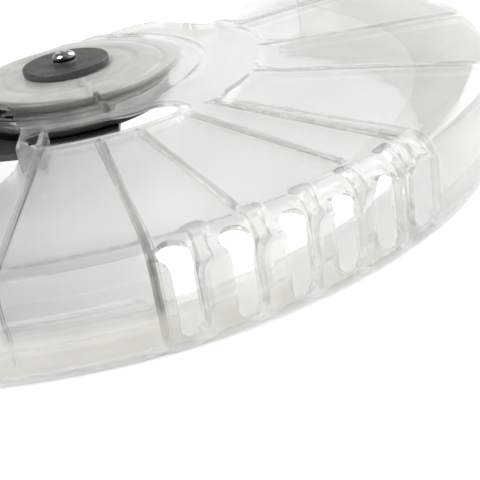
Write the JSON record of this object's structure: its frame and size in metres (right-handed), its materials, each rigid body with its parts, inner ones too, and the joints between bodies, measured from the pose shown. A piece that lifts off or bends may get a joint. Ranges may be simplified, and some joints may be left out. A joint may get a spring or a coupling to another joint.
{
  "type": "lower blade guard assembly",
  "caption": "Clear fan-shaped saw blade guard with ribs and vents, swinging on a sprung pivot with a retaining disc above a flat steel bracket.",
  "frame": {"origin": "midway between the two bolt holes of the bracket's arm, on the bracket's top face", "axes": "+Z along the pivot axis towards the screw head; +X into the fan, away from the bracket arm; +Y to the back"},
  "size_m": [0.273, 0.2923, 0.0472],
  "materials": {
    "clear_polycarbonate": "clear, smooth, faintly warm",
    "natural_acetal": "satin",
    "steel_pins": "bright zinc",
    "black_steel": "semi-gloss black coating",
    "housing_steel": "drawn, turned marks",
    "sleeve_steel": "ground",
    "spring_steel": "oiled wire",
    "felt": "felt",
    "black_disc": "satin black oxide",
    "screw_chrome": "polished",
    "black_rubber": "matte"
  },
  "bodies": {
    "bracket_body": {"lower_thrust_washer": "natural_acetal", "upper_thrust_washer": "natural_acetal", "cup_rivets": "steel_pins", "spring_anchor": "steel_pins", "stop_studs": "steel_pins", "stop_clips": "steel_pins", "head_washer": "steel_pins", "nut_washer": "steel_pins", "lock_nut": "steel_pins", "bracket": "black_steel", "spring_cup": "housing_steel", "pivot_sleeve": "sleeve_steel", "return_spring": "spring_steel", "felt_seal": "felt", "retaining_disc": "black_disc", "pivot_screw": "screw_chrome", "stop_sleeves": "black_rubber"},
    "guard_body": {"clear_guard": "clear_polycarbonate", "hub_bush": "natural_acetal", "spring_pin": "steel_pins"}
  },
  "joints": [
    {"name": "guard_swing", "type": "hinge", "parent": "bracket_body", "child": "guard_body", "pos_m": [0.072, 0, 0.0075], "axis": [0, 0, 1], "range_deg": [0, 112], "stiffness_Nm_per_rad": 0.35, "springref_deg": -34.38}
  ]
}
